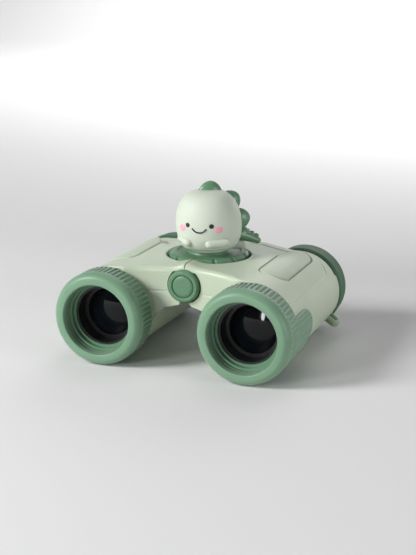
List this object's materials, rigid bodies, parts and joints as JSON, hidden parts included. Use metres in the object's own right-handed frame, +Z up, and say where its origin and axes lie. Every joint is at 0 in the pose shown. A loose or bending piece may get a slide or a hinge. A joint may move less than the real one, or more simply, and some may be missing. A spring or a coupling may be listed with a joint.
{
  "type": "binoculars",
  "caption": "Folding compact binoculars: straight ribbed-ring barrels on a central hinge, with a round focus dial that carries a small dinosaur figure.",
  "frame": {"origin": "on the surface the objective rings stand on, below the middle of the body", "axes": "+X across the barrels to the user's left, +Y from the objectives to the eyepieces, +Z up"},
  "size_m": [0.105, 0.09, 0.0725],
  "materials": {
    "sage_shell": "smooth moulded plastic, satin",
    "green_rubber": "ribbed soft-touch rubber",
    "dark_green_rubber": "soft-touch rubber",
    "green_plastic": "satin moulded plastic",
    "black_plastic": "matt black anti-reflection finish",
    "optical_glass": "coated, polished",
    "steel": "bright zinc",
    "brass": "plain",
    "figure_shell": "smooth vinyl",
    "figure_green": "smooth vinyl",
    "black_ink": "glossy inlay",
    "pink_ink": "matt inlay"
  },
  "bodies": {
    "centre": {"hinge_axle": "steel", "hinge_bridge": "black_plastic", "hinge_cap": "green_plastic", "hinge_cap_disc": "green_plastic", "rear_hinge_cap": "green_plastic", "hinge_washers": "brass", "dial_pivot_screw": "steel"},
    "dial": {"focus_dial": "green_plastic", "figure_body": "figure_shell", "figure_plates": "figure_green", "figure_tail": "figure_green", "figure_paws": "figure_shell", "figure_feet": "figure_shell", "figure_eyes_mouth": "black_ink", "figure_cheeks": "pink_ink", "figure_screws": "steel"},
    "carriage": {"focus_carriage": "black_plastic", "cam_follower": "steel"},
    "left_half": {"left_top_cover": "sage_shell", "left_housing": "sage_shell", "left_thumb_pad": "sage_shell", "left_objective_ring": "green_rubber", "left_objective_cell": "green_plastic", "left_objective_tube": "black_plastic", "left_objective_lens": "optical_glass", "left_lens_retainer": "black_plastic", "left_prism_cage": "black_plastic", "left_erecting_prism": "optical_glass", "left_roof_prism": "optical_glass", "left_field_stop": "black_plastic", "left_eyepiece_barrel": "black_plastic", "left_field_lens": "optical_glass", "left_eye_lens": "optical_glass", "left_eyecup": "dark_green_rubber", "left_strap_lug": "sage_shell", "left_cover_screws": "steel"},
    "left_focus": {"left_focus_cell": "black_plastic", "left_focus_lens": "optical_glass"},
    "right_half": {"right_top_cover": "sage_shell", "right_housing": "sage_shell", "right_thumb_pad": "sage_shell", "right_objective_ring": "green_rubber", "right_objective_cell": "green_plastic", "right_objective_tube": "black_plastic", "right_objective_lens": "optical_glass", "right_lens_retainer": "black_plastic", "right_prism_cage": "black_plastic", "right_erecting_prism": "optical_glass", "right_roof_prism": "optical_glass", "right_field_stop": "black_plastic", "right_eyepiece_barrel": "black_plastic", "right_field_lens": "optical_glass", "right_eye_lens": "optical_glass", "right_eyecup": "dark_green_rubber", "right_strap_lug": "sage_shell", "right_cover_screws": "steel"},
    "right_focus": {"right_focus_cell": "black_plastic", "right_focus_lens": "optical_glass"}
  },
  "joints": [
    {"name": "right_fold", "type": "hinge", "parent": "centre", "child": "right_half", "pos_m": [0, 0, 0.0335], "axis": [0, 1, 0], "range_deg": [0, 15]},
    {"name": "left_fold", "type": "hinge", "parent": "centre", "child": "left_half", "pos_m": [0, 0, 0.0335], "axis": [0, 1, 0], "range_deg": [-15, 0]},
    {"name": "dial_turn", "type": "hinge", "parent": "centre", "child": "dial", "pos_m": [0, 0.001, 0.042], "axis": [0, 0, 1], "range_deg": [-150, 150]},
    {"name": "carriage_slide", "type": "slide", "parent": "centre", "child": "carriage", "axis": [0, 1, 0], "range_m": [-0.00151, 0.00151]},
    {"name": "right_focus_slide", "type": "slide", "parent": "right_half", "child": "right_focus", "axis": [0, 1, 0], "range_m": [-0.00151, 0.00151]},
    {"name": "left_focus_slide", "type": "slide", "parent": "left_half", "child": "left_focus", "axis": [0, 1, 0], "range_m": [-0.00151, 0.00151]}
  ],
  "couplings": [
    {"joint": "left_fold", "follows": "right_fold", "ratio": -1},
    {"joint": "carriage_slide", "follows": "dial_turn", "m_per_rad": -0.00057296},
    {"joint": "right_focus_slide", "follows": "dial_turn", "m_per_rad": -0.00057296},
    {"joint": "left_focus_slide", "follows": "dial_turn", "m_per_rad": -0.00057296}
  ]
}
